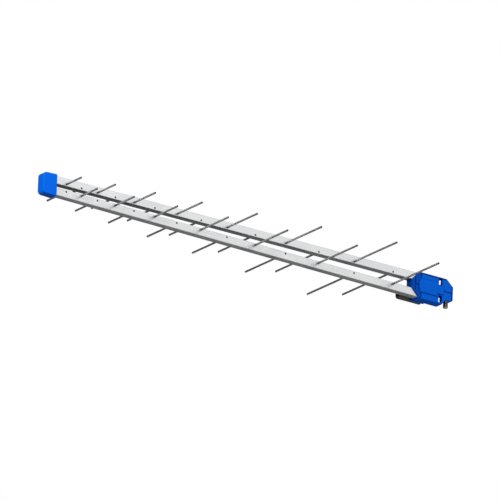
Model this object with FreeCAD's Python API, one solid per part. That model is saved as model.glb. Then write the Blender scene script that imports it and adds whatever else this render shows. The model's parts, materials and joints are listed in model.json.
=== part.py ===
import FreeCAD, Part
import math
import os
from FreeCAD import Vector

# Log-periodic UHF television antenna: two square booms stacked one above the other,
# fourteen dipoles of two half rods each, a front cap and a two-shell rear housing.
# Millimetres. +X is the direction the antenna points, +Y its left side, +Z up.
# The origin is the middle of the flat in the mast seat on the housing's right side.
# The pieces are drawn about the antenna's middle plane, y = 0, and moved by
# mast_seat_to_middle when they are written.

mast_seat_to_middle = 2.0

# Booms
boom_side = 15.0
boom_wall = 1.2
boom_corner = 1.1
boom_rear_x = 36.0
boom_overhang = 42.1
gap_rear = 17.4
gap_front = 6.6

# Dipoles, numbered from the shortest, at the front
dipole_count = 14
longest_dipole_x = 124.75
apex_distance = 1134.0
scale_ratio = 0.923
half_length_ratio = 0.137
rod_radius = 1.9
rod_edge_distance = 3.8
rod_end_proud = 0.4
rod_end_chamfer = 0.4
rod_hole_clearance = 0.05
shortest_distance = apex_distance * scale_ratio ** (dipole_count - 1)
boom_front_x = longest_dipole_x + apex_distance - shortest_distance + boom_overhang

# Front cap
cap_reach = 10.4
cap_front_x = boom_front_x + cap_reach
cap_length = 30.0
cap_width = 20.0
cap_height = 42.8
cap_draft = 1.1
cap_wall = 4.8
cap_round = 2.0
cap_brow_round = 7.5
cap_rim_round = 0.8
cap_chamber_margin = 0.3
cap_chamber_width = 13.0
pocket_clearance = 0.1

# Rear housing outline, seen from the left
housing_front_x = 82.0
housing_rear_x = -10.6
housing_half_height = 26.0
housing_nose_half_height = 9.0
housing_shoulder_x = 66.0
housing_tail_top_x = 4.4
housing_tail_top_z = 12.8
housing_depth = 10.0
housing_edge_round = 2.0
housing_edge_bevel = 0.8
notch_z = -16.8
notch_corner_x = -6.0
notch_corner_z = -14.0
notch_x = 6.2
flange_front_x = 13.2
flange_thickness = 6.0
neck_half_height = 9.0

# Raised panel and lines of the left face
panel_height = 2.2
panel_half_height = 14.0
panel_tip_x = 69.2
panel_shoulder_x = 63.8
panel_rear_x = 25.0
panel_tongue_half_height = 8.6
panel_tongue_rear_x = 11.8
panel_bevel = 1.5
nose_slope_start_x = 75.5
nose_slope_drop = 1.2
line_width = 1.8
line_depth = 1.3
line_nose_x = 75.5
line_nose_end_x = 66.8
line_nose_half_height = 12.0
line_shoulder_x = 62.0
line_margin = 1.8
line_tail_front_x = 10.2
line_tail_rear_x = -6.6

# Strap slots
slot_rear_x = 14.75
slot_width = 7.5
slot_inner_z = 10.4
slot_outer_wall = 2.4
slot_outer_z = housing_half_height - slot_outer_wall
slot_corner = 0.8

# Mast seat on the right side of the tail block
block_half_height = -notch_z
tongue_depth = 4.0
seat_depth = 2.0
seat_flat = 7.0
seat_mouth = 14.5
seat_teeth = 3
seat_tooth_depth = 0.45

# Inside of the housing
shell_wall = 2.0
chamber_depth = 7.9
chamber_front_x = 9.0
chamber_top_z = 13.0
web_front_x = 78.0
web_rear_x = 40.0
web_half_height = 6.0
cable_room_rear_x = 23.6
cable_room_top_z = -3.4
cable_room_bottom_z = -22.5
cable_room_depth = 7.0

# Screws that join the two shells
screw_places = [(72.0, 0.0), (45.0, 0.0), (17.0, 4.0)]
screw_radius = 1.75
screw_length = 15.0
screw_head_radius = 3.4
screw_head_height = 2.2
screw_sink = 0.4
screw_hole_clearance = 0.05
screw_recess_clearance = 0.25
screw_drive_radius = 1.3
screw_drive_depth = 1.2
boss_radius = 4.0

# Cable sleeve and its cradle
sleeve_radius = 8.5
sleeve_bore_radius = 4.5
sleeve_length = 50.0
sleeve_rear_x = 44.2
sleeve_z = -18.0
sleeve_chamfer = 0.5
cradle_clearance = 0.1
cradle_front_x = 71.5
cradle_rear_x = 41.0
cradle_lip = 3.8
cradle_top_z = -8.6
cradle_arm = 2.0
cradle_arm_front_x = 68.0
cradle_arm_rear_x = 52.0
cradle_arm_end_deg = 150.0

# Coaxial socket under the tail block
socket_x = 1.8
socket_y = 3.6
plug_room_radius = 6.6
socket_barrel_radius = 4.5
socket_barrel_length = 12.5
socket_neck_radius = 3.6
socket_neck_length = 4.7
socket_bore_radius = 2.8
socket_face_recess = 0.5
socket_rim_chamfer = 0.4
contact_radius = 0.9
contact_bore_radius = 0.5
contact_tail = 2.0
contact_bore_depth = 8.0
fit_gap = 0.03

# Terminal board
board_rear_x = -4.0
board_front_x = 8.4
board_inner_y = 0.4
board_outer_y = 7.6
board_thickness = 1.2

# Feed cable inside the housing and the lower boom
cable_radius = 1.6
cable_y = 2.6
cable_rear_x = 5.6
cable_level_z = -7.4
cable_drop_start_x = 28.0
cable_drop_end_x = 45.0
cable_reach = 2.1
cable_front_x = boom_front_x + cable_reach
cable_floor_gap = 0.1
cable_bend = 12.0
core_radius = 0.4
core_bend = 1.2
core_reach = 2.4
core_rear_reach = 1.6

# Feed point at the front ends of the booms
plug_length = 8.0
plug_gap = 0.1
lug_thickness = 0.8
lug_ring_radius = 3.4
feed_screw_radius = 1.5
feed_screw_length = 6.0
feed_screw_head_radius = 2.8
feed_screw_head_height = 1.6
lower_feed_screw_y = -2.4
lower_feed_screw_rise = 2.4

# Shorting clip across the rear ends of the booms
clip_thickness = 1.0
clip_tongue = 12.0
clip_inner_y = -0.6
clip_outer_y = -5.4
clip_gap = 0.1

X_AXIS = Vector(1, 0, 0)
Y_AXIS = Vector(0, 1, 0)
Z_AXIS = Vector(0, 0, 1)


def boom_gap(x):
    """Gap between the facing sides of the booms at station x."""
    along = (x - boom_rear_x) / (boom_front_x - boom_rear_x)
    return gap_rear + (gap_front - gap_rear) * along


boom_tilt_deg = math.degrees(math.atan((gap_rear - gap_front) / 2.0 / (boom_front_x - boom_rear_x)))
boom_length = (boom_front_x - boom_rear_x) / math.cos(math.radians(boom_tilt_deg))


def box(x0, x1, y0, y1, z0, z1):
    return Part.makeBox(x1 - x0, y1 - y0, z1 - z0, Vector(x0, y0, z0))


def bar_y(x, z, radius, y0, y1):
    return Part.makeCylinder(radius, y1 - y0, Vector(x, y0, z), Y_AXIS)


def prism_y(points, y0, y1):
    """Prism over an outline of (x, z) points, from y0 to y1."""
    corners = [Vector(x, y0, z) for x, z in points]
    wire = Part.makePolygon(corners + corners[:1])
    return Part.Face(wire).extrude(Vector(0, y1 - y0, 0))


def rounded_bar(x0, x1, half_y, z0, z1, corner):
    """Bar along X with rounded long edges."""
    bar = box(x0, x1, -half_y, half_y, z0, z1)
    if corner <= 0:
        return bar
    long_edges = [e for e in bar.Edges if abs(e.tangentAt(e.FirstParameter).x) > 0.99]
    return bar.makeFillet(corner, long_edges)


def fuse_all(shapes):
    return shapes[0].multiFuse(shapes[1:]).removeSplitter() if len(shapes) > 1 else shapes[0]


def one_solid(shape):
    return shape.Solids[0] if len(shape.Solids) == 1 else shape


def tilt_to_upper_boom(shape):
    """Turns a shape drawn along X above z = 0 into the upper boom's place."""
    placed = shape.copy()
    placed.rotate(Vector(0, 0, 0), Y_AXIS, boom_tilt_deg)
    placed.translate(Vector(boom_rear_x, 0, gap_rear / 2.0))
    return placed


def to_lower(shape):
    return shape.mirror(Vector(0, 0, 0), Z_AXIS)


def boom_envelope(extra, rear_extra=0.0, front_extra=0.0):
    """Outside of the upper boom, grown by extra on its four sides."""
    bar = rounded_bar(-rear_extra, boom_length + front_extra, boom_side / 2.0 + extra,
                      -extra, boom_side + extra, boom_corner)
    return tilt_to_upper_boom(bar)


def dipole_distance(number):
    """Distance of a dipole from the virtual apex in front of the antenna."""
    return apex_distance * scale_ratio ** (dipole_count - number)


def dipole_x(number):
    return longest_dipole_x + apex_distance - dipole_distance(number)


def rod_height(number):
    """Height of a rod's axis above the middle plane between the booms."""
    return boom_gap(dipole_x(number)) / 2.0 + rod_edge_distance


def make_upper_tube():
    outer = rounded_bar(0, boom_length, boom_side / 2.0, 0, boom_side, boom_corner)
    inner = rounded_bar(-1, boom_length + 1, boom_side / 2.0 - boom_wall,
                        boom_wall, boom_side - boom_wall, 0)
    tube = tilt_to_upper_boom(outer.cut(inner))
    reach = boom_side
    holes = [bar_y(dipole_x(n), rod_height(n), rod_radius + rod_hole_clearance, -reach, reach)
             for n in range(1, dipole_count + 1)]
    return tube.cut(Part.makeCompound(holes))


def make_rod(number, side, upper):
    """Half a dipole. side is +1 for left and -1 for right."""
    inner_y = -(boom_side / 2.0 + rod_end_proud)
    outer_y = half_length_ratio * dipole_distance(number)
    rod = bar_y(dipole_x(number), rod_height(number), rod_radius, inner_y, outer_y)
    rims = [e for e in rod.Edges if e.Closed and len(e.Vertexes) == 1 and abs(e.BoundBox.YLength) < 1e-6]
    rod = rod.makeChamfer(rod_end_chamfer, rims)
    if side < 0:
        rod = rod.mirror(Vector(0, 0, 0), Y_AXIS)
    return rod if upper else to_lower(rod)


def make_front_cap():
    rear_x = cap_front_x - cap_length
    high = cap_height / 2.0
    low = high - cap_draft
    shell = prism_y([(rear_x, -high), (cap_front_x, -low), (cap_front_x, low), (rear_x, high)],
                    -cap_width / 2.0, cap_width / 2.0)
    brow = [e for e in shell.Edges if e.BoundBox.XMin > cap_front_x - 0.001 and e.BoundBox.YLength > 1]
    shell = shell.makeFillet(cap_brow_round, brow)
    outer = [e for e in shell.Edges if e.BoundBox.XMax > rear_x + 0.001 and e.BoundBox.YLength < 0.001]
    shell = shell.makeFillet(cap_round, outer)
    rim = [e for e in shell.Edges if e.BoundBox.XMax < rear_x + 0.001]
    shell = shell.makeFillet(cap_rim_round, rim)
    pocket = boom_envelope(pocket_clearance)
    reach = boom_gap(boom_front_x) / 2.0 + boom_side + cap_chamber_margin
    chamber = box(boom_front_x - 0.5, cap_front_x - cap_wall,
                  -cap_chamber_width / 2.0, cap_chamber_width / 2.0, -reach, reach)
    return shell.cut(pocket).cut(to_lower(pocket)).cut(chamber)


def housing_outline():
    """Corners of the housing seen from the left, from the nose round over the top."""
    top = housing_half_height
    nose = housing_nose_half_height
    return [(housing_front_x, -nose), (housing_front_x, nose),
            (housing_shoulder_x, top), (housing_tail_top_x, top),
            (housing_rear_x, housing_tail_top_z), (housing_rear_x, notch_corner_z),
            (notch_corner_x, notch_z), (notch_x, notch_z), (flange_front_x, -top), (housing_shoulder_x, -top)]


def slot_cutter(y0, y1, open_rear):
    """Both strap slots. With open_rear they run out at the back of the body."""
    x0 = flange_front_x - 1.0 if open_rear else slot_rear_x
    x1 = slot_rear_x + slot_width
    cutters = []
    for sign in (-1, 1):
        z0, z1 = sorted((sign * slot_inner_z, sign * slot_outer_z))
        cutter = box(x0, x1, y0, y1, z0, z1)
        cross_edges = [e for e in cutter.Edges if abs(e.tangentAt(e.FirstParameter).y) > 0.99]
        cutters.append(cutter if open_rear else cutter.makeFillet(slot_corner, cross_edges))
    return Part.makeCompound(cutters)


def boom_pockets():
    upper = boom_envelope(pocket_clearance)
    return [upper, to_lower(upper)]


def socket_neck_hole():
    top = notch_z + socket_neck_length + fit_gap
    return Part.makeCylinder(socket_neck_radius + fit_gap, top - notch_z + 1.0,
                             Vector(socket_x, socket_y, notch_z - 1.0), Z_AXIS)


def plug_room():
    """Room for the nut of a plug on the socket, sunk in the slope beside it."""
    return Part.makeCylinder(plug_room_radius, housing_half_height,
                             Vector(socket_x, socket_y, notch_z - housing_half_height), Z_AXIS)


def nose_slope():
    """Wedge that takes the left face down towards the nose."""
    high = housing_half_height + 1.0
    run = housing_front_x - nose_slope_start_x
    reach = 2.0 * run
    corners = [Vector(nose_slope_start_x, housing_depth, -high),
               Vector(nose_slope_start_x + reach, housing_depth, -high),
               Vector(nose_slope_start_x + reach, housing_depth - nose_slope_drop * reach / run, -high)]
    return Part.Face(Part.makePolygon(corners + corners[:1])).extrude(Vector(0, 0, 2 * high))


def face_lines(y_face):
    """Shallow lines pressed into the left face."""
    y0 = y_face - line_depth
    y1 = y_face + panel_height + 1.0
    half = line_width / 2.0
    edge = housing_half_height - line_margin
    lines = [box(line_nose_x - half, line_nose_x + half, y0, y1,
                 -line_nose_half_height, line_nose_half_height),
             box(line_nose_end_x, line_nose_x, y0, y1, -half, half),
             box(line_tail_rear_x, line_tail_front_x, y0, y1, -half, half)]
    for sign in (-1, 1):
        z0, z1 = sorted((sign * panel_half_height, sign * edge))
        lines.append(box(line_shoulder_x - half, line_shoulder_x + half, y0, y1, z0, z1))
    return lines


def make_panel(y_face):
    """Raised panel of the left face, with a tongue between the slots."""
    wide = panel_half_height
    narrow = panel_tongue_half_height
    outline = [(panel_tip_x, 0), (panel_shoulder_x, wide), (panel_rear_x, wide),
               (panel_rear_x, narrow), (panel_tongue_rear_x, narrow),
               (panel_tongue_rear_x, -narrow), (panel_rear_x, -narrow),
               (panel_rear_x, -wide), (panel_shoulder_x, -wide)]
    panel = prism_y(outline, y_face - 1.0, y_face + panel_height)
    top = y_face + panel_height
    rim = [e for e in panel.Edges if e.BoundBox.YMin > top - 0.001]
    return panel.makeChamfer(panel_bevel, rim)


def make_left_shell():
    """Shell on the left: face, raised panel, flange and terminal chamber."""
    back = housing_depth - flange_thickness
    shell = prism_y(housing_outline(), 0, housing_depth)
    rim = [e for e in shell.Edges if e.BoundBox.YMin > housing_depth - 0.001]
    shell = shell.makeFillet(housing_edge_round, rim).cut(nose_slope())
    high = housing_half_height + 1.0
    behind = [box(housing_rear_x - 1, flange_front_x, -1, back, block_half_height, high),
              box(housing_rear_x - 1, flange_front_x, -1, back, -high, -block_half_height),
              box(-housing_rear_x, flange_front_x, -1, back, neck_half_height, high),
              box(-housing_rear_x, flange_front_x, -1, back, -high, -neck_half_height)]
    shell = shell.cut(Part.makeCompound(behind))
    shell = shell.fuse(make_panel(housing_depth))
    shell = shell.cut(Part.makeCompound(boom_pockets()))
    shell = shell.cut(slot_cutter(-1, housing_depth + panel_height + 1, False))
    slot_relief = slot_cutter(-1, back, False)
    slot_relief.translate(Vector(flange_front_x - slot_rear_x - 0.5, 0, 0))
    shell = shell.cut(slot_relief)
    rooms = [box(housing_rear_x + shell_wall, chamber_front_x, -1, chamber_depth,
                 notch_z + shell_wall, chamber_top_z),
             box(chamber_front_x - 1, cable_room_rear_x + 1, -1, cable_y + cable_radius + 0.2,
                 cable_level_z - cable_radius - 0.2, cable_level_z + cable_radius + 0.2),
             box(cable_room_rear_x, boom_rear_x + 0.5, -1, cable_room_depth,
                 cable_room_bottom_z, cable_room_top_z)]
    web = box(web_rear_x, web_front_x, -1, housing_depth - shell_wall,
              -web_half_height, web_half_height)
    clip_room = clip_space()
    bosses = [bar_y(x, z, boss_radius, -1, housing_depth) for x, z in screw_places]
    web = web.cut(Part.makeCompound(bosses))
    shell = shell.cut(Part.makeCompound(rooms)).cut(web).cut(clip_room)
    shell = shell.cut(socket_neck_hole()).cut(plug_room())
    depth = screw_tip_y() + 0.5
    pilots = [bar_y(x, z, screw_radius + screw_hole_clearance, -1, depth) for x, z in screw_places]
    shell = shell.cut(Part.makeCompound(pilots))
    return shell.cut(Part.makeCompound(face_lines(housing_depth)))


def screw_seat_y():
    """Plane that the undersides of the shell screws' heads rest on."""
    return -housing_depth + screw_head_height + screw_sink


def screw_tip_y():
    return screw_seat_y() + screw_length


def clip_space():
    """Room in the shells for the shorting clip behind the booms."""
    reach = gap_rear / 2.0 + boom_wall + clip_thickness + 1.0
    return box(boom_rear_x - clip_thickness - 0.6, boom_rear_x + 0.5,
               clip_outer_y - 0.4, clip_inner_y + 1.0, -reach, reach)


def seat_profile():
    """Outline of the mast seat's trough, as (x, y), with teeth on both flanks."""
    flank = []
    run = (seat_mouth - seat_flat) / 2.0
    for k in range(seat_teeth):
        x0 = seat_flat / 2.0 + run * k / seat_teeth
        x1 = seat_flat / 2.0 + run * (k + 1) / seat_teeth
        y1 = -seat_depth - (tongue_depth - seat_depth) * (k + 1) / seat_teeth
        flank.append((x0, y1))
        flank.append((x1, y1))
    right = [(x, y + (seat_tooth_depth if i % 2 == 0 else 0)) for i, (x, y) in enumerate(flank)]
    right = [(seat_flat / 2.0, -seat_depth)] + right
    right.append((seat_mouth / 2.0, -tongue_depth - 1.0))
    left = [(-x, y) for x, y in reversed(right)]
    return right + left


def make_seat_cutter():
    corners = [Vector(x, y, -block_half_height - 1) for x, y in seat_profile()]
    face = Part.Face(Part.makePolygon(corners + corners[:1]))
    return face.extrude(Vector(0, 0, 2 * block_half_height + 2))


def make_right_shell():
    """Shell on the right: cover, tongue with the mast seat, and the sleeve's cradle."""
    body_outline = [(x, z) for x, z in housing_outline() if x >= flange_front_x - 0.001]
    body_outline.insert(3, (flange_front_x, housing_half_height))
    shell = prism_y(body_outline, -housing_depth, 0)
    rim = [e for e in shell.Edges if e.BoundBox.YMax < -housing_depth + 0.001]
    shell = shell.makeChamfer(housing_edge_bevel, rim)
    neck = box(-housing_rear_x - 1, flange_front_x + 1, -tongue_depth, 0,
               -neck_half_height, neck_half_height)
    block = prism_y(housing_outline(), -tongue_depth, 0)
    block = block.common(box(housing_rear_x, -housing_rear_x, -tongue_depth, 0,
                             -block_half_height, block_half_height))
    shell = shell.fuse(neck).fuse(block).cut(make_seat_cutter())
    cradle_z0 = -housing_half_height
    cradle = box(cradle_rear_x, cradle_front_x, -housing_depth - cradle_lip, -housing_depth + 1,
                 cradle_z0, cradle_top_z)
    shell = shell.fuse(cradle).fuse(make_cradle_arm())
    sleeve_room = Part.makeCylinder(sleeve_radius + cradle_clearance, housing_front_x,
                                    Vector(0, sleeve_y(), sleeve_z), X_AXIS)
    shell = shell.cut(sleeve_room.common(box(0, 2 * housing_front_x, -60, -housing_depth, -60, 60)))
    shell = shell.cut(Part.makeCompound(boom_pockets()))
    shell = shell.cut(slot_cutter(-housing_depth - 1, 1, True))
    web = box(web_rear_x, web_front_x, -housing_depth + shell_wall, 1,
              -web_half_height, web_half_height)
    bosses = [bar_y(x, z, boss_radius, -housing_depth, 1) for x, z in screw_places]
    shell = shell.cut(web.cut(Part.makeCompound(bosses))).cut(clip_space())
    shell = shell.cut(socket_neck_hole()).cut(plug_room())
    for x, z in screw_places:
        shell = shell.cut(bar_y(x, z, screw_radius + 0.2, -housing_depth - 1, 1))
        shell = shell.cut(bar_y(x, z, screw_head_radius + screw_recess_clearance,
                                -housing_depth - 1, screw_seat_y()))
    return shell


def sleeve_y():
    """Axis of the cable sleeve, resting against the right shell's face."""
    return -housing_depth - sleeve_radius - cradle_clearance


def make_cradle_arm():
    """Spring arm that reaches over the sleeve from the shell."""
    inner = sleeve_radius + cradle_clearance
    base = Vector(cradle_arm_rear_x, sleeve_y(), sleeve_z)
    length = cradle_arm_front_x - cradle_arm_rear_x
    ring = Part.makeCylinder(inner + cradle_arm, length, base, X_AXIS)
    end = math.radians(cradle_arm_end_deg)
    far = 3.0 * sleeve_radius
    keep = [Vector(cradle_arm_rear_x, sleeve_y(), sleeve_z),
            Vector(cradle_arm_rear_x, sleeve_y() + far, sleeve_z),
            Vector(cradle_arm_rear_x, sleeve_y() + far, sleeve_z + far),
            Vector(cradle_arm_rear_x, sleeve_y() - far, sleeve_z + far),
            Vector(cradle_arm_rear_x, sleeve_y() + far * math.cos(end), sleeve_z + far * math.sin(end))]
    wedge = Part.Face(Part.makePolygon(keep + keep[:1])).extrude(Vector(length, 0, 0))
    arm = ring.common(wedge)
    outside = box(0, housing_front_x, -60, -housing_depth + 0.5, -60, 60)
    return arm.common(outside)


def make_cable_sleeve():
    base = Vector(sleeve_rear_x, sleeve_y(), sleeve_z)
    body = Part.makeCylinder(sleeve_radius, sleeve_length, base, X_AXIS)
    rims = [e for e in body.Edges if e.BoundBox.XLength < 1e-6]
    body = body.makeChamfer(sleeve_chamfer, rims)
    bore = Part.makeCylinder(sleeve_bore_radius, sleeve_length + 2,
                             base - Vector(1, 0, 0), X_AXIS)
    return body.cut(bore)


def make_shell_screws():
    screws = []
    for x, z in screw_places:
        head = bar_y(x, z, screw_head_radius, screw_seat_y() - screw_head_height, screw_seat_y())
        rim = [e for e in head.Edges if e.BoundBox.YMax < screw_seat_y() - screw_head_height + 0.001]
        head = head.makeFillet(0.8, rim)
        drive = bar_y(x, z, screw_drive_radius, screw_seat_y() - screw_head_height - 1,
                      screw_seat_y() - screw_head_height + screw_drive_depth)
        shank = bar_y(x, z, screw_radius, screw_seat_y(), screw_tip_y())
        screws.append(one_solid(head.fuse(shank).cut(drive)))
    return Part.makeCompound(screws)


def socket_cylinder(radius, z0, z1):
    return Part.makeCylinder(radius, z1 - z0, Vector(socket_x, socket_y, z0), Z_AXIS)


def make_socket_body():
    """Metal barrel of the coaxial socket. Its fine thread is left to the finish."""
    tip = notch_z - socket_barrel_length
    barrel = socket_cylinder(socket_barrel_radius, tip, notch_z)
    rim = [e for e in barrel.Edges if e.BoundBox.ZMax < tip + 0.001]
    barrel = barrel.makeChamfer(socket_rim_chamfer, rim)
    neck = socket_cylinder(socket_neck_radius, notch_z, notch_z + socket_neck_length)
    bore = socket_cylinder(socket_bore_radius, tip - 1, notch_z + socket_neck_length + 1)
    return one_solid(barrel.fuse(neck).cut(bore).removeSplitter())


def make_socket_insulator():
    tip = notch_z - socket_barrel_length + socket_face_recess
    top = notch_z + socket_neck_length
    body = socket_cylinder(socket_bore_radius - fit_gap, tip, top)
    return body.cut(socket_cylinder(contact_radius + fit_gap, tip - 1, top + 1))


def make_socket_contact():
    tip = notch_z - socket_barrel_length + 2 * socket_face_recess
    top = notch_z + socket_neck_length + board_thickness + contact_tail
    pin = socket_cylinder(contact_radius, tip, top)
    return pin.cut(socket_cylinder(contact_bore_radius, tip - 1, tip + contact_bore_depth))


def board_bottom():
    return notch_z + socket_neck_length + fit_gap


def make_terminal_board():
    bottom = board_bottom()
    board = box(board_rear_x, board_front_x, board_inner_y, board_outer_y,
                bottom, bottom + board_thickness)
    return board.cut(socket_cylinder(contact_radius + fit_gap, bottom - 1, bottom + 3))


def cable_floor_z(x):
    """Height of the cable's axis where it lies on the lower boom's floor."""
    floor = -(boom_gap(x) / 2.0 + boom_side - boom_wall)
    return floor + cable_radius + cable_floor_gap


def tangent_path(points, bends):
    """Wire of straight runs through the points, with an arc of given radius at each inner one."""
    edges = []
    start = points[0]
    for i in range(1, len(points) - 1):
        corner = points[i]
        before = (points[i - 1] - corner).normalize()
        after = (points[i + 1] - corner).normalize()
        half_turn = (math.pi - before.getAngle(after)) / 2.0
        reach = bends[i - 1] * math.tan(half_turn)
        arc_start = corner + before * reach
        arc_end = corner + after * reach
        middle_dir = (before + after).normalize()
        centre_distance = bends[i - 1] / math.cos(half_turn)
        middle = corner + middle_dir * (centre_distance - bends[i - 1])
        edges.append(Part.LineSegment(start, arc_start).toShape())
        edges.append(Part.Arc(arc_start, middle, arc_end).toShape())
        start = arc_end
    edges.append(Part.LineSegment(start, points[-1]).toShape())
    return Part.Wire(edges)


def pipe(path, radius):
    """Round tube along a path, with its section at the path's start."""
    first = path.Edges[0]
    origin = first.valueAt(first.FirstParameter)
    heading = first.tangentAt(first.FirstParameter)
    ring = Part.Wire(Part.makeCircle(radius, origin, heading))
    return path.makePipeShell([ring], True, True)


def make_feed_cable():
    points = [Vector(cable_rear_x, cable_y, cable_level_z),
              Vector(cable_drop_start_x, cable_y, cable_level_z),
              Vector(cable_drop_end_x, cable_y, cable_floor_z(cable_drop_end_x)),
              Vector(cable_front_x, cable_y, cable_floor_z(cable_front_x))]
    return pipe(tangent_path(points, [cable_bend, cable_bend]), cable_radius)


def make_rear_core():
    """Bared core from the cable's rear end down to the terminal board."""
    top = board_bottom() + board_thickness
    points = [Vector(cable_rear_x, cable_y, cable_level_z),
              Vector(cable_rear_x - core_rear_reach, cable_y, cable_level_z),
              Vector(cable_rear_x - core_rear_reach, cable_y, top)]
    return pipe(tangent_path(points, [core_bend]), core_radius)


def upper_screw_z():
    return boom_gap(boom_front_x) / 2.0 + boom_side / 2.0


def lower_screw_z():
    return -upper_screw_z() + lower_feed_screw_rise


def make_front_core():
    """Bared core from the cable's front end up to the upper boom's lug."""
    low = cable_floor_z(cable_front_x)
    high = upper_screw_z() - 1.9
    front = cable_front_x + core_reach
    back = boom_front_x + lug_thickness + plug_gap
    points = [Vector(cable_front_x + fit_gap, cable_y, low), Vector(front, cable_y, low),
              Vector(front, cable_y, high), Vector(back, cable_y, high)]
    return pipe(tangent_path(points, [core_bend, core_bend]), core_radius)


def make_end_plug(lower):
    """Metal plug in the front end of a boom, tapped for the feed screw."""
    half = boom_side / 2.0 - boom_wall - plug_gap
    middle = upper_screw_z() + (boom_gap(boom_front_x - plug_length) - boom_gap(boom_front_x)) / 4.0
    plug = box(boom_front_x - plug_length, boom_front_x, -half, half, middle - half, middle + half)
    hole_y = lower_feed_screw_y if lower else 0.0
    hole_z = lower_screw_z() if lower else upper_screw_z()
    if lower:
        plug = to_lower(plug)
        floor = cable_floor_z(boom_front_x)
        gap = cable_radius + 0.2
        slot = box(boom_front_x - plug_length - 1, boom_front_x + 1, cable_y - gap, cable_y + gap,
                   floor - 2 * gap, floor)
        round_end = Part.makeCylinder(gap, plug_length + 2,
                                      Vector(boom_front_x - plug_length - 1, cable_y, floor), X_AXIS)
        plug = plug.cut(slot).cut(round_end)
    hole = Part.makeCylinder(feed_screw_radius + fit_gap, plug_length + 2,
                             Vector(boom_front_x - plug_length - 1, hole_y, hole_z), X_AXIS)
    return plug.cut(hole)


def disc_x(x0, x1, y, z, radius):
    return Part.makeCylinder(radius, x1 - x0, Vector(x0, y, z), X_AXIS)


def lug_front():
    return boom_front_x + plug_gap + lug_thickness


def make_core_lug():
    z = upper_screw_z()
    ring = disc_x(boom_front_x + plug_gap, lug_front(), 0, z, lug_ring_radius)
    return ring.cut(disc_x(boom_front_x - 1, lug_front() + 1, 0, z, feed_screw_radius + fit_gap))


def make_braid_lug():
    """Flat lug that ties the cable's braid to the lower boom."""
    x0 = boom_front_x + plug_gap
    x1 = lug_front()
    screw_z = lower_screw_z()
    cable_z = cable_floor_z(boom_front_x)
    ring = disc_x(x0, x1, lower_feed_screw_y, screw_z, lug_ring_radius)
    collar = disc_x(x0, x1, cable_y, cable_z, cable_radius + 1.2)
    a = Vector(x0, lower_feed_screw_y, screw_z)
    b = Vector(x0, cable_y, cable_z)
    across = (b - a).cross(X_AXIS).normalize() * (cable_radius + 0.6)
    corners = [a + across, b + across, b - across, a - across]
    bridge = Part.Face(Part.makePolygon(corners + corners[:1])).extrude(Vector(lug_thickness, 0, 0))
    lug = fuse_all([ring, collar, bridge])
    lug = lug.cut(disc_x(x0 - 1, x1 + 1, lower_feed_screw_y, screw_z, feed_screw_radius + fit_gap))
    return one_solid(lug.cut(disc_x(x0 - 1, x1 + 1, cable_y, cable_z, cable_radius + 0.1)))


def make_feed_screw(y, z):
    seat = lug_front()
    shank = disc_x(seat - feed_screw_length, seat, y, z, feed_screw_radius)
    head = disc_x(seat, seat + feed_screw_head_height, y, z, feed_screw_head_radius)
    drive = disc_x(seat + feed_screw_head_height - 0.8, seat + feed_screw_head_height + 1, y, z, 1.0)
    return one_solid(shank.fuse(head).cut(drive))


def make_feed_screws():
    return Part.makeCompound([make_feed_screw(0.0, upper_screw_z()),
                              make_feed_screw(lower_feed_screw_y, lower_screw_z())])


def make_shorting_clip():
    """Folded strip that joins the facing walls of the booms at their rear ends."""
    inner_face = gap_rear / 2.0 + boom_wall + clip_gap
    x1 = boom_rear_x - clip_gap
    x0 = x1 - clip_thickness
    reach = inner_face + clip_thickness
    plate = box(x0, x1, clip_outer_y, clip_inner_y, -reach, reach)
    upper = box(x0, x1 + clip_tongue, clip_outer_y, clip_inner_y, inner_face, reach)
    return fuse_all([plate, upper, to_lower(upper)])


def write(name, shape):
    placed = shape.copy()
    placed.translate(Vector(0, mast_seat_to_middle, 0))
    placed.exportStep("parts/" + name + ".step")
    solids = len(placed.Solids)
    print("%-24s solids %d valid %s volume %.1f" % (name, solids, placed.isValid(), placed.Volume))


def main():
    os.makedirs("parts", exist_ok=True)
    upper_boom = make_upper_tube()
    write("upper_boom", upper_boom)
    write("lower_boom", to_lower(upper_boom))
    for number in range(1, dipole_count + 1):
        upper_side = 1 if number % 2 else -1
        for side in (1, -1):
            name = "element_%02d_%s" % (number, "left" if side > 0 else "right")
            write(name, make_rod(number, side, side == upper_side))
    write("front_cap", make_front_cap())
    write("housing_left_shell", make_left_shell())
    write("housing_right_shell", make_right_shell())
    write("housing_screws", make_shell_screws())
    write("cable_sleeve", make_cable_sleeve())
    write("socket_body", make_socket_body())
    write("socket_insulator", make_socket_insulator())
    write("socket_contact", make_socket_contact())
    write("terminal_board", make_terminal_board())
    write("feed_cable", make_feed_cable())
    write("feed_core_rear", make_rear_core())
    write("feed_core_front", make_front_core())
    write("upper_end_plug", make_end_plug(False))
    write("lower_end_plug", make_end_plug(True))
    write("core_lug", make_core_lug())
    write("braid_lug", make_braid_lug())
    write("feed_screws", make_feed_screws())
    write("shorting_clip", make_shorting_clip())


main()
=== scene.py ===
import bpy
import json
import math
from mathutils import Matrix, Vector


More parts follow.
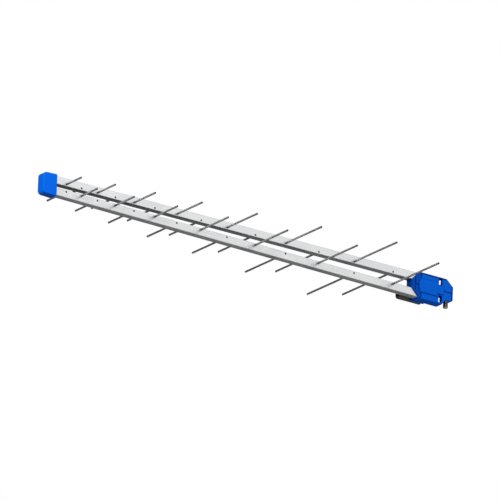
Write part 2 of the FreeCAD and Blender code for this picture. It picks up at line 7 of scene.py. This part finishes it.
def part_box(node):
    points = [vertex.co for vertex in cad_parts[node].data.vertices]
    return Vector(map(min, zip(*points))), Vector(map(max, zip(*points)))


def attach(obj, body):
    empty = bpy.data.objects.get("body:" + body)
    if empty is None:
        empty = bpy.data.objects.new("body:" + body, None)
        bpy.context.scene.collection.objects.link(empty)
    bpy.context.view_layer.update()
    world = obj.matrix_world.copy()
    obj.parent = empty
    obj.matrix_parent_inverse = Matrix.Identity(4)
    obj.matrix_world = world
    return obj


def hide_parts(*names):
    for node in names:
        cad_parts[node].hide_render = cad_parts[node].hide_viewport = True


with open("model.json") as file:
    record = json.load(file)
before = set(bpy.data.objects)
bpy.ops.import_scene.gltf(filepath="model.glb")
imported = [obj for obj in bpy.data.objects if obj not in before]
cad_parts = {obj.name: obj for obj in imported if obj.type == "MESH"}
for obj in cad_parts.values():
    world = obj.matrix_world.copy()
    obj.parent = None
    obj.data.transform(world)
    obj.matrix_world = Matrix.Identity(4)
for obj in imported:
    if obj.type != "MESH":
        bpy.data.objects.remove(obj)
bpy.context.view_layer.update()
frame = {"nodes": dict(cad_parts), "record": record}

nodes = frame["nodes"]

view = {
    "aim": (0.44100, 0.00126, -0.01863),    # the point in the middle of the picture
    "right": (-0.81940, 0.57195, 0.03814),  # the picture's right
    "up": (0.22519, 0.26000, 0.93898),      # the picture's up
    "lens": 1700.0,                         # long, because the photograph is nearly parallel
    "sensor": 36.0,
    "width": 0.92219,                       # metres across the picture at the aim
    "clip": (1.0, 400.0),
}


def makeCamera():
    right = Vector(view["right"]).normalized()
    up = Vector(view["up"])
    up = (up - right * up.dot(right)).normalized()
    back = right.cross(up)
    distance = view["width"] * view["lens"] / view["sensor"]
    lensData = bpy.data.cameras.new("viewCamera")
    lensData.lens = view["lens"]
    lensData.sensor_width = view["sensor"]
    lensData.clip_start, lensData.clip_end = view["clip"]
    camera = bpy.data.objects.new("viewCamera", lensData)
    bpy.context.scene.collection.objects.link(camera)
    turn = Matrix((right, up, back)).transposed().to_4x4()
    camera.matrix_world = Matrix.Translation(Vector(view["aim"]) + back * distance) @ turn
    bpy.context.scene.camera = camera


studio = {
    "floorZ": -14.0,
    "floorSize": 28.0,
    "floorColour": (0.86, 0.86, 0.85, 1.0),
    "floorRough": 0.9,
    "floorGlow": 0.2,
    "skyLow": 0.1,                  # just under the horizon
    "skyBand": 0.18,                # just over the horizon
    "skyTop": 0.3,                  # overhead
    "horizonSpan": (-0.1, 0.1),     # heights between which the sky passes from low to band
    "topSpan": (0.35, 0.9),         # and from band to top
    "panel": (-0.55, 0.76, 0.34),   # where the large soft panel hangs, seen from the antenna
    "panelSpan": (0.62, 0.93),      # cosines between which it comes up to its full strength
    "panelStrength": 1.0,
    "lamps": {
        # name: (place, aim, size, watts)
        "keyLamp": ((1.7, 2.9, 0.5), (0.45, 0.0, 0.0), 1.6, 56.0),
        "frontLamp": ((1.9, 0.2, 0.15), (0.8, 0.0, 0.0), 0.6, 8.6),
    },
}


def skyStep(tree, source, span, low, high):
    step = tree.nodes.new("ShaderNodeMapRange")
    step.interpolation_type = "SMOOTHSTEP"
    step.inputs["From Min"].default_value = span[0]
    step.inputs["From Max"].default_value = span[1]
    step.inputs["To Min"].default_value = low
    step.inputs["To Max"].default_value = high
    tree.links.new(source, step.inputs["Value"])
    return step.outputs["Result"]


def makeWorld():
    world = bpy.data.worlds.new("studioWorld")
    world.use_nodes = True
    tree = world.node_tree
    tree.nodes.clear()
    place = tree.nodes.new("ShaderNodeTexCoord")
    split = tree.nodes.new("ShaderNodeSeparateXYZ")
    tree.links.new(place.outputs["Generated"], split.inputs[0])
    height = split.outputs["Z"]
    horizon = skyStep(tree, height, studio["horizonSpan"], studio["skyLow"], studio["skyBand"])
    overhead = skyStep(tree, height, studio["topSpan"], 0.0,
                       studio["skyTop"] - studio["skyBand"])
    toPanel = tree.nodes.new("ShaderNodeVectorMath")
    toPanel.operation = "DOT_PRODUCT"
    tree.links.new(place.outputs["Generated"], toPanel.inputs[0])
    toPanel.inputs[1].default_value = Vector(studio["panel"]).normalized()
    panel = skyStep(tree, toPanel.outputs["Value"], studio["panelSpan"], 0.0,
                    studio["panelStrength"])
    total = mathNode(tree, "ADD", mathNode(tree, "ADD", horizon, overhead), panel)
    soft = tree.nodes.new("ShaderNodeBackground")
    tree.links.new(total, soft.inputs["Strength"])
    plain = tree.nodes.new("ShaderNodeBackground")
    plain.inputs["Strength"].default_value = 1.0
    plain.inputs["Color"].default_value = (1.0, 1.0, 1.0, 1.0)
    path = tree.nodes.new("ShaderNodeLightPath")
    mix = tree.nodes.new("ShaderNodeMixShader")
    tree.links.new(path.outputs["Is Camera Ray"], mix.inputs["Fac"])
    tree.links.new(soft.outputs[0], mix.inputs[1])
    tree.links.new(plain.outputs[0], mix.inputs[2])
    end = tree.nodes.new("ShaderNodeOutputWorld")
    tree.links.new(mix.outputs[0], end.inputs["Surface"])
    bpy.context.scene.world = world


def makeLamps():
    for name, (place, aim, size, watts) in studio["lamps"].items():
        lampData = bpy.data.lights.new(name, "AREA")
        lampData.shape = "DISK"
        lampData.size = size
        lampData.energy = watts
        lamp = bpy.data.objects.new(name, lampData)
        bpy.context.scene.collection.objects.link(lamp)
        lamp.location = place
        heading = Vector(aim) - Vector(place)
        lamp.rotation_euler = heading.to_track_quat("-Z", "Y").to_euler()


def makeFloor():
    bpy.ops.object.select_all(action="DESELECT")
    bpy.ops.mesh.primitive_plane_add(size=studio["floorSize"], location=(0, 0, studio["floorZ"]))
    floor = bpy.context.object
    floor.name = "studioFloor"
    material = bpy.data.materials.new("floorPaper")
    material.use_nodes = True
    paper = material.node_tree.nodes["Principled BSDF"]
    paper.inputs["Base Color"].default_value = studio["floorColour"]
    paper.inputs["Roughness"].default_value = studio["floorRough"]
    paper.inputs["Emission Color"].default_value = studio["floorColour"]
    paper.inputs["Emission Strength"].default_value = studio["floorGlow"]
    floor.data.materials.append(material)


shading = {
    "noiseSpan": (0.3, 0.7),    # the part of a noise's values that is used
    "lineShare": 0.55,          # of drawn lines in a metal's tone, the rest being clouds
    "bumpDistance": 0.0002,
    "endFaceSpan": (0.5, 0.9),   # how squarely a face looks along the bar to count as its end
    "recessSamples": 32,
    "faceBack": 0.0095,         # Y behind which the painted shade bands of the left face end
}


def newGroup(name, inputs, outputs):
    group = bpy.data.node_groups.new(name, "ShaderNodeTree")
    for label, kind, value in inputs:
        entrySocket = group.interface.new_socket(name=label, in_out="INPUT", socket_type=kind)
        entrySocket.default_value = value
    for label, kind in outputs:
        group.interface.new_socket(name=label, in_out="OUTPUT", socket_type=kind)
    return group, group.nodes.new("NodeGroupInput"), group.nodes.new("NodeGroupOutput")


def mathNode(tree, operation, a, b=None):
    node = tree.nodes.new("ShaderNodeMath")
    node.operation = operation
    for index, value in enumerate((a, b)):
        if value is None:
            continue
        if hasattr(value, "links"):
            tree.links.new(value, node.inputs[index])
        else:
            node.inputs[index].default_value = value
    return node.outputs[0]


def buildDrawnLines():
    # long fine lines left by drawing or extruding, along the stretched axis
    group, entry, exit = newGroup(
        "drawnLines",
        [("Stretch", "NodeSocketVector", (1.0, 1.0, 1.0)), ("Fine", "NodeSocketFloat", 900.0),
         ("Coarse", "NodeSocketFloat", 60.0)],
        [("Lines", "NodeSocketFloat"), ("Clouds", "NodeSocketFloat")])
    place = group.nodes.new("ShaderNodeTexCoord")
    mapping = group.nodes.new("ShaderNodeMapping")
    group.links.new(place.outputs["Object"], mapping.inputs["Vector"])
    group.links.new(entry.outputs["Stretch"], mapping.inputs["Scale"])
    fine = group.nodes.new("ShaderNodeTexNoise")
    fine.inputs["Detail"].default_value = 3.0
    group.links.new(mapping.outputs[0], fine.inputs["Vector"])
    group.links.new(entry.outputs["Fine"], fine.inputs["Scale"])
    coarse = group.nodes.new("ShaderNodeTexNoise")
    coarse.inputs["Detail"].default_value = 4.0
    group.links.new(place.outputs["Object"], coarse.inputs["Vector"])
    group.links.new(entry.outputs["Coarse"], coarse.inputs["Scale"])
    group.links.new(fine.outputs["Fac"], exit.inputs["Lines"])
    group.links.new(coarse.outputs["Fac"], exit.inputs["Clouds"])
    return group


def buildGrain():
    # small pits and a slow drift in tone, as on a moulded or cast surface
    group, entry, exit = newGroup(
        "mouldedGrain",
        [("Grain", "NodeSocketFloat", 2200.0), ("Drift", "NodeSocketFloat", 45.0)],
        [("Pits", "NodeSocketFloat"), ("Tone", "NodeSocketFloat")])
    place = group.nodes.new("ShaderNodeTexCoord")
    pits = group.nodes.new("ShaderNodeTexNoise")
    pits.inputs["Detail"].default_value = 2.0
    drift = group.nodes.new("ShaderNodeTexNoise")
    drift.inputs["Detail"].default_value = 3.0
    for node, label in ((pits, "Grain"), (drift, "Drift")):
        group.links.new(place.outputs["Object"], node.inputs["Vector"])
        group.links.new(entry.outputs[label], node.inputs["Scale"])
    group.links.new(pits.outputs["Fac"], exit.inputs["Pits"])
    group.links.new(drift.outputs["Fac"], exit.inputs["Tone"])
    return group


def buildEndFaces():
    # the faces that look along the given axis, at a bar's ends, where the rods take painted shade
    group, entry, exit = newGroup(
        "endFaces", [("Axis", "NodeSocketVector", (0.0, 1.0, 0.0))], [("Mask", "NodeSocketFloat")])
    shape = group.nodes.new("ShaderNodeNewGeometry")
    along = group.nodes.new("ShaderNodeVectorMath")
    along.operation = "DOT_PRODUCT"
    group.links.new(shape.outputs["True Normal"], along.inputs[0])
    group.links.new(entry.outputs["Axis"], along.inputs[1])
    size = mathNode(group, "ABSOLUTE", along.outputs["Value"])
    step = group.nodes.new("ShaderNodeMapRange")
    step.inputs["From Min"].default_value = shading["endFaceSpan"][0]
    step.inputs["From Max"].default_value = shading["endFaceSpan"][1]
    group.links.new(size, step.inputs["Value"])
    group.links.new(step.outputs["Result"], exit.inputs["Mask"])
    return group


def buildRecessShade():
    # painted shade: grows dark in grooves, corners and narrow gaps, where little light comes
    group, entry, exit = newGroup(
        "recessShade",
        [("Reach", "NodeSocketFloat", 0.004), ("Open", "NodeSocketFloat", 0.95),
         ("Shut", "NodeSocketFloat", 0.5)],
        [("Mask", "NodeSocketFloat")])
    nearby = group.nodes.new("ShaderNodeAmbientOcclusion")
    nearby.samples = shading["recessSamples"]
    group.links.new(entry.outputs["Reach"], nearby.inputs["Distance"])
    step = group.nodes.new("ShaderNodeMapRange")
    step.inputs["To Min"].default_value = 1.0
    step.inputs["To Max"].default_value = 0.0
    group.links.new(nearby.outputs["AO"], step.inputs["Value"])
    group.links.new(entry.outputs["Shut"], step.inputs["From Min"])
    group.links.new(entry.outputs["Open"], step.inputs["From Max"])
    group.links.new(step.outputs["Result"], exit.inputs["Mask"])
    return group


def buildFaceShadeBand():
    # painted shade: a soft band across the left face, darker towards its rim or nose
    group, entry, exit = newGroup(
        "faceShadeBand",
        [("Axis", "NodeSocketVector", (1.0, 0.0, 0.0)), ("Start", "NodeSocketFloat", 0.0),
         ("Full", "NodeSocketFloat", 0.01), ("Low", "NodeSocketFloat", 0.0),
         ("High", "NodeSocketFloat", 0.1)],
        [("Mask", "NodeSocketFloat")])
    place = group.nodes.new("ShaderNodeTexCoord")
    split = group.nodes.new("ShaderNodeSeparateXYZ")
    group.links.new(place.outputs["Object"], split.inputs[0])
    along = group.nodes.new("ShaderNodeVectorMath")
    along.operation = "DOT_PRODUCT"
    group.links.new(place.outputs["Object"], along.inputs[0])
    group.links.new(entry.outputs["Axis"], along.inputs[1])
    band = group.nodes.new("ShaderNodeMapRange")
    band.interpolation_type = "SMOOTHSTEP"
    group.links.new(along.outputs["Value"], band.inputs["Value"])
    group.links.new(entry.outputs["Start"], band.inputs["From Min"])
    group.links.new(entry.outputs["Full"], band.inputs["From Max"])
    over = mathNode(group, "GREATER_THAN", split.outputs["Y"], entry.outputs["Low"])
    under = mathNode(group, "LESS_THAN", split.outputs["Y"], entry.outputs["High"])
    layer = mathNode(group, "MULTIPLY", over, under)
    group.links.new(mathNode(group, "MULTIPLY", layer, band.outputs["Result"]),
                    exit.inputs["Mask"])
    return group


groups = {}
materials = {}


def useGroup(tree, name, **values):
    node = tree.nodes.new("ShaderNodeGroup")
    node.node_tree = groups[name]
    for label, value in values.items():
        node.inputs[label].default_value = value
    return node


def rampNode(tree, source, dark, light):
    ramp = tree.nodes.new("ShaderNodeValToRGB")
    for element, position, colour in zip(ramp.color_ramp.elements, shading["noiseSpan"],
                                         (dark, light)):
        element.position = position
        element.color = (*colour, 1.0)
    tree.links.new(source, ramp.inputs["Fac"])
    return ramp.outputs["Color"]


def mixColour(tree, mask, first, second):
    mix = tree.nodes.new("ShaderNodeMix")
    mix.data_type = "RGBA"
    tree.links.new(mask, mix.inputs["Factor"])
    tree.links.new(first, mix.inputs["A"])
    mix.inputs["B"].default_value = (*second, 1.0)
    return mix.outputs["Result"]


# paints shade into the colour: the recess colour is mixed in where little light reaches
def shadeRecess(tree, colour, recess):
    shade = useGroup(tree, "recessShade", Reach=recess["reach"], Open=recess["open"],
                     Shut=recess["shut"])
    return mixColour(tree, shade.outputs["Mask"], colour, recess["colour"])


def rangeNode(tree, source, low, high):
    node = tree.nodes.new("ShaderNodeMapRange")
    node.inputs["From Min"].default_value = shading["noiseSpan"][0]
    node.inputs["From Max"].default_value = shading["noiseSpan"][1]
    node.inputs["To Min"].default_value = low
    node.inputs["To Max"].default_value = high
    tree.links.new(source, node.inputs["Value"])
    return node.outputs["Result"]


def bumpNode(tree, height, strength):
    node = tree.nodes.new("ShaderNodeBump")
    node.inputs["Strength"].default_value = strength
    node.inputs["Distance"].default_value = shading["bumpDistance"]
    tree.links.new(height, node.inputs["Height"])
    return node.outputs["Normal"]


def newMaterial(name, metallic, extra=()):
    material = bpy.data.materials.new(name)
    material.use_nodes = True
    tree = material.node_tree
    surface = tree.nodes["Principled BSDF"]
    surface.inputs["Metallic"].default_value = metallic
    for label, value in extra:
        surface.inputs[label].default_value = value
    materials[name] = material
    return tree, surface


def makeDrawnMetal(name, settings):
    tree, surface = newMaterial(name, 1.0)
    lines = useGroup(tree, "drawnLines", Stretch=settings["stretch"],
                     Fine=settings["fine"], Coarse=settings["coarse"])
    lineShare = shading["lineShare"]
    blend = mathNode(tree, "ADD", mathNode(tree, "MULTIPLY", lines.outputs["Lines"], lineShare),
                     mathNode(tree, "MULTIPLY", lines.outputs["Clouds"], 1.0 - lineShare))
    colour = rampNode(tree, blend, settings["dark"], settings["light"])
    # painted shade on the end faces along the given axis
    if "endShade" in settings:
        ends = useGroup(tree, "endFaces", Axis=settings["endShade"]["axis"])
        colour = mixColour(tree, ends.outputs["Mask"], colour, settings["endShade"]["colour"])
    # painted shade in grooves, corners and gaps
    if "recess" in settings:
        colour = shadeRecess(tree, colour, settings["recess"])
    tree.links.new(colour, surface.inputs["Base Color"])
    rough = rangeNode(tree, blend, settings["roughLow"], settings["roughHigh"])
    tree.links.new(rough, surface.inputs["Roughness"])
    normal = bumpNode(tree, lines.outputs["Lines"], settings["bump"])
    tree.links.new(normal, surface.inputs["Normal"])


def makeMoulded(name, settings):
    tree, surface = newMaterial(name, 0.0, settings.get("extra", ()))
    grain = useGroup(tree, "mouldedGrain", Grain=settings["grain"], Drift=settings["drift"])
    colour = rampNode(tree, grain.outputs["Tone"], settings["dark"], settings["light"])
    # painted shade: each band darkens the face towards a rim or the nose
    for axis, start, full, front, tone in settings.get("bands", ()):
        band = useGroup(tree, "faceShadeBand", Axis=axis, Start=start, Full=full,
                        Low=shading["faceBack"], High=front)
        colour = mixColour(tree, band.outputs["Mask"], colour, tone)
    # painted shade in grooves, corners and gaps
    if "recess" in settings:
        colour = shadeRecess(tree, colour, settings["recess"])
    tree.links.new(colour, surface.inputs["Base Color"])
    rough = rangeNode(tree, grain.outputs["Pits"], settings["roughLow"], settings["roughHigh"])
    tree.links.new(rough, surface.inputs["Roughness"])
    normal = bumpNode(tree, grain.outputs["Pits"], settings["bump"])
    tree.links.new(normal, surface.inputs["Normal"])


metals = {
    "boomMetal": {"stretch": (0.02, 1.0, 1.0), "fine": 900.0, "coarse": 30.0,
                  "dark": (0.72, 0.73, 0.74), "light": (0.86, 0.865, 0.87),
                  "roughLow": 0.34, "roughHigh": 0.46, "bump": 0.08,
                  # painted shade: darker beside the rod roots, the housing and between the booms
                  "recess": {"reach": 0.016, "open": 0.92, "shut": 0.1,
                             "colour": (0.34, 0.34, 0.35)}},
    "rodMetal": {"stretch": (1.0, 0.02, 1.0), "fine": 1400.0, "coarse": 60.0,
                 "dark": (0.43, 0.43, 0.435), "light": (0.56, 0.56, 0.565),
                 "roughLow": 0.38, "roughHigh": 0.5, "bump": 0.08,
                 # painted shade: the rod end faces are darkened for the shade in the boom's holes
                 "endShade": {"axis": (0.0, 1.0, 0.0), "colour": (0.04, 0.04, 0.042)},
                 # painted shade: darker near the rods' roots at the booms
                 "recess": {"reach": 0.02, "open": 0.99, "shut": 0.75,
                            "colour": (0.13, 0.13, 0.135)}},
    "socketPlating": {"stretch": (1.0, 1.0, 0.1), "fine": 1500.0, "coarse": 200.0,
                      "dark": (0.2, 0.2, 0.2), "light": (0.34, 0.335, 0.325),
                      "roughLow": 0.2, "roughHigh": 0.32, "bump": 0.05,
                      # painted shade: darker at the neck under the housing and in the thread's
                      # roots
                      "recess": {"reach": 0.008, "open": 0.95, "shut": 0.5,
                                 "colour": (0.02, 0.02, 0.02)}},
    "contactMetal": {"stretch": (1.0, 1.0, 0.1), "fine": 1500.0, "coarse": 300.0,
                     "dark": (0.7, 0.55, 0.28), "light": (0.85, 0.7, 0.4),
                     "roughLow": 0.2, "roughHigh": 0.35, "bump": 0.05},
    "copperCore": {"stretch": (1.0, 1.0, 1.0), "fine": 1500.0, "coarse": 300.0,
                   "dark": (0.6, 0.28, 0.15), "light": (0.85, 0.45, 0.28),
                   "roughLow": 0.25, "roughHigh": 0.4, "bump": 0.05},
    "plugMetal": {"stretch": (1.0, 1.0, 1.0), "fine": 900.0, "coarse": 120.0,
                  "dark": (0.6, 0.61, 0.62), "light": (0.78, 0.79, 0.8),
                  "roughLow": 0.35, "roughHigh": 0.5, "bump": 0.15},
    "tinnedMetal": {"stretch": (1.0, 0.2, 1.0), "fine": 1200.0, "coarse": 150.0,
                    "dark": (0.58, 0.58, 0.56), "light": (0.76, 0.76, 0.74),
                    "roughLow": 0.28, "roughHigh": 0.42, "bump": 0.08},
    "screwSteel": {"stretch": (1.0, 1.0, 1.0), "fine": 1600.0, "coarse": 300.0,
                   "dark": (0.45, 0.45, 0.44), "light": (0.68, 0.68, 0.66),
                   "roughLow": 0.25, "roughHigh": 0.4, "bump": 0.1},
}

plastics = {
    "bluePlastic": {"grain": 2600.0, "drift": 30.0, "dark": (0.0004, 0.116, 0.68),
                    "light": (0.0006, 0.13, 0.75), "roughLow": 0.36, "roughHigh": 0.48,
                    "bump": 0.12, "extra": (("Specular IOR Level", 0.03),),
                    # painted shade: darker in the grooves, at the panel's step and between the
                    # booms
                    "recess": {"reach": 0.016, "open": 0.95, "shut": 0.62,
                               "colour": (0.0002, 0.04, 0.27)}},
    "darkSleeve": {"grain": 3000.0, "drift": 80.0, "dark": (0.062, 0.063, 0.064),
                   "light": (0.092, 0.093, 0.095), "roughLow": 0.5, "roughHigh": 0.68,
                   "bump": 0.3},
    "whiteInsulator": {"grain": 3000.0, "drift": 200.0, "dark": (0.75, 0.74, 0.7),
                       "light": (0.85, 0.85, 0.82), "roughLow": 0.4, "roughHigh": 0.5,
                       "bump": 0.1},
    "boardLaminate": {"grain": 900.0, "drift": 300.0, "dark": (0.03, 0.14, 0.05),
                      "light": (0.06, 0.22, 0.09), "roughLow": 0.4, "roughHigh": 0.55,
                      "bump": 0.1},
    "cableJacket": {"grain": 1800.0, "drift": 100.0, "dark": (0.012, 0.012, 0.013),
                    "light": (0.025, 0.025, 0.026), "roughLow": 0.45, "roughHigh": 0.6,
                    "bump": 0.1},
}

# the left shell's face, painted shade in bands at its nose, its top and rear rims and the slope
# between them: (axis, start and full place along it, the Y where the band ends in front, colour)
plastics["blueFaceShaded"] = dict(plastics["bluePlastic"], bands=(
    ((1.0, 0.0, 0.0), 0.0595, 0.0640, 0.0124, (0.0003, 0.070, 0.48)),
    ((0.0, 0.0, 1.0), 0.0205, 0.0240, 0.1, (0.0003, 0.025, 0.22)),
    ((-1.0, 0.0, 0.0), 0.0040, 0.0080, 0.1, (0.0003, 0.035, 0.28)),
    ((-0.66, 0.0, 0.75), 0.0128, 0.0156, 0.1, (0.0003, 0.022, 0.2))))

nodeMaterials = {"housing_left_shell": "blueFaceShaded"}

slotMaterials = {
    "boom_metal": "boomMetal", "rod_metal": "rodMetal", "blue_plastic": "bluePlastic",
    "dark_sleeve": "darkSleeve", "socket_plating": "socketPlating",
    "white_insulator": "whiteInsulator", "contact_metal": "contactMetal",
    "board_laminate": "boardLaminate", "cable_jacket": "cableJacket",
    "copper_core": "copperCore", "plug_metal": "plugMetal", "tinned_metal": "tinnedMetal",
    "screw_steel": "screwSteel",
}


def deselectAll():
    if bpy.context.object and bpy.context.object.mode != "OBJECT":
        bpy.ops.object.mode_set(mode="OBJECT")
    bpy.ops.object.select_all(action="DESELECT")


def selectOnly(piece):
    deselectAll()
    piece.select_set(True)
    bpy.context.view_layer.objects.active = piece


turning = {
    "smoothAngle": 40.0,    # degrees
    "rootEnd": 0.12,        # shares of a thread's pitch
    "crestStart": 0.5,
    "crestEnd": 0.62,
}


def turnedRing(name, centre, profile, segments, closed):
    # a turned shape about a line along Z: the ring is extruded from station to station, and
    # its last ring is bridged to its first, or each is filled
    deselectAll()
    radius, z = profile[0]
    bpy.ops.mesh.primitive_circle_add(vertices=segments, radius=radius, location=(*centre, z))
    piece = bpy.context.object
    piece.name = name
    bpy.ops.object.mode_set(mode="EDIT")
    bpy.ops.mesh.select_all(action="SELECT")
    for nextRadius, nextZ in profile[1:]:
        bpy.ops.mesh.extrude_region_move(TRANSFORM_OT_translate={"value": (0, 0, nextZ - z)})
        factor = nextRadius / radius
        bpy.ops.transform.resize(value=(factor, factor, 1.0), center_override=(*centre, nextZ))
        radius, z = nextRadius, nextZ
    bpy.ops.mesh.select_all(action="DESELECT")
    bpy.ops.mesh.select_non_manifold(extend=False, use_wire=False, use_multi_face=False,
                                     use_non_contiguous=False, use_verts=False)
    if closed:
        bpy.ops.mesh.bridge_edge_loops()
    else:
        bpy.ops.mesh.edge_face_add()
    bpy.ops.mesh.select_all(action="SELECT")
    bpy.ops.mesh.normals_make_consistent(inside=False)
    bpy.ops.object.mode_set(mode="OBJECT")
    bpy.ops.object.shade_smooth_by_angle(angle=math.radians(turning["smoothAngle"]))
    bpy.ops.object.transform_apply(location=True, rotation=True, scale=True)
    return piece


def threadProfile(radius, depth, zStart, zEnd, pitch):
    # crests and roots from zStart to zEnd
    count = int(abs(zEnd - zStart) / pitch)
    step = (zEnd - zStart) / count
    root = radius - depth
    points = []
    for index in range(count):
        base = zStart + step * index
        points += [(root, base), (root, base + step * turning["rootEnd"]),
                   (radius, base + step * turning["crestStart"]),
                   (radius, base + step * turning["crestEnd"])]
    points.append((root, zEnd))
    return points


socket = {
    "name": "threadedSocket",
    "node": "socket_body",
    "segments": 40,
    "pitch": 0.000794,          # a 32-per-inch thread
    "threadDepth": 0.0004,
    "threadRunIn": 0.0002,
    "threadRunOut": 0.00064,
    "plainRoot": 0.0012,        # smooth length under the housing
    "rimChamfer": 0.0004,
    "boreChamfer": 0.0002,
    "boreRadius": 0.0028,
    "neckRadius": 0.0036,
    "neckLength": 0.0047,
}


def makeThreadedSocket():
    low, high = (Vector(corner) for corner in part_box(socket["node"]))
    centre = ((low.x + high.x) / 2, (low.y + high.y) / 2)
    radius = (high.x - low.x) / 2
    bore = socket["boreRadius"]
    shoulder = high.z - socket["neckLength"]
    rootEnd = shoulder - socket["plainRoot"]
    tip = low.z
    profile = [(bore, high.z), (socket["neckRadius"], high.z), (socket["neckRadius"], shoulder),
               (radius, shoulder), (radius, rootEnd)]
    profile += threadProfile(radius, socket["threadDepth"], rootEnd - socket["threadRunIn"],
                             tip + socket["threadRunOut"], socket["pitch"])
    profile += [(radius - socket["rimChamfer"], tip), (bore + socket["boreChamfer"], tip),
                (bore, tip + socket["boreChamfer"])]
    piece = turnedRing(socket["name"], centre, profile, socket["segments"], True)
    piece.data.materials.append(materials["socketPlating"])
    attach(piece, "root")
    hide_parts(socket["node"])


screws = {
    "name": "crossScrews",
    "node": "housing_screws",
    "segments": 28,
    "places": ((0.072, 0.0), (0.045, 0.0), (0.017, 0.004)),
    "crownRadius": 0.00187,     # flat middle of the head
    "headRadius": 0.0034,
    "headRound": 0.0009,
    "headCurve": ((0.7, 0.25), (0.25, 0.6), (0.0, 1.2)),    # inward and along, by headRound
    "headHeight": 0.0022,
    "shankRadius": 0.00172,
    "length": 0.015,
    "pitch": 0.0011,
    "threadDepth": 0.0003,
    "threadRunIn": 0.0008,
    "pointLength": 0.002,
    "pointRadius": 0.000602,
    "crossSpan": 0.0034,
    "crossWidth": 0.0009,
    "crossDepth": 0.0013,
    "crossClear": 0.001,        # how far the cutters stand out of the head
}


def makeScrew():
    # one screw with its head at the origin and its point up along Z
    seat = screws["headHeight"]
    end = seat + screws["length"]
    profile = [(screws["crownRadius"], 0.0)]
    profile += [(screws["headRadius"] - screws["headRound"] * inward, screws["headRound"] * along)
                for inward, along in screws["headCurve"]]
    profile += [(screws["headRadius"], seat), (screws["shankRadius"], seat)]
    profile += threadProfile(screws["shankRadius"], screws["threadDepth"],
                             seat + screws["threadRunIn"], end - screws["pointLength"],
                             screws["pitch"])
    profile.append((screws["pointRadius"], end))
    screw = turnedRing("screwPart", (0.0, 0.0), profile, screws["segments"], False)
    for turn in (0.0, math.pi / 2):
        deselectAll()
        middle = (screws["crossDepth"] - screws["crossClear"]) / 2
        bpy.ops.mesh.primitive_cube_add(size=1.0, location=(0, 0, middle), rotation=(0, 0, turn))
        blade = bpy.context.object
        blade.scale = (screws["crossSpan"], screws["crossWidth"],
                       screws["crossDepth"] + screws["crossClear"])
        bpy.ops.object.transform_apply(location=True, rotation=True, scale=True)
        cut = screw.modifiers.new("cross", "BOOLEAN")
        cut.operation = "DIFFERENCE"
        cut.object = blade
        cut.solver = "EXACT"
        selectOnly(screw)
        bpy.ops.object.modifier_apply(modifier="cross")
        bpy.data.objects.remove(blade)
    return screw


def makeCrossScrews():
    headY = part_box(screws["node"])[0][1]
    parts = [makeScrew()]
    while len(parts) < len(screws["places"]):
        selectOnly(parts[0])
        bpy.ops.object.duplicate()
        parts.append(bpy.context.object)
    for part, (x, z) in zip(parts, screws["places"]):
        selectOnly(part)
        part.rotation_euler = (-math.pi / 2, 0, 0)
        part.location = (x, headY, z)
        bpy.ops.object.transform_apply(location=True, rotation=True, scale=True)
    deselectAll()
    for part in parts:
        part.select_set(True)
    bpy.context.view_layer.objects.active = parts[0]
    bpy.ops.object.join()
    piece = bpy.context.object
    piece.name = screws["name"]
    piece.data.materials.clear()
    piece.data.materials.append(materials["screwSteel"])
    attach(piece, "root")
    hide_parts(screws["node"])


def dressNodes():
    for entry in frame["record"]["subparts"]:
        mesh = nodes[entry["node"]].data
        name = nodeMaterials.get(entry["node"], slotMaterials[entry["material_slot"]])
        material = materials[name]
        if mesh.materials:
            for index in range(len(mesh.materials)):
                mesh.materials[index] = material
        else:
            mesh.materials.append(material)


print("camera and light")
makeCamera()
makeWorld()
makeLamps()
makeFloor()

print("materials")
groups["drawnLines"] = buildDrawnLines()
groups["mouldedGrain"] = buildGrain()
groups["endFaces"] = buildEndFaces()
groups["recessShade"] = buildRecessShade()
groups["faceShadeBand"] = buildFaceShadeBand()
for metalName, metalSettings in metals.items():
    makeDrawnMetal(metalName, metalSettings)
for plasticName, plasticSettings in plastics.items():
    makeMoulded(plasticName, plasticSettings)
dressNodes()

print("socket and screws")
makeThreadedSocket()
makeCrossScrews()

bpy.context.scene.view_settings.view_transform = "Standard"
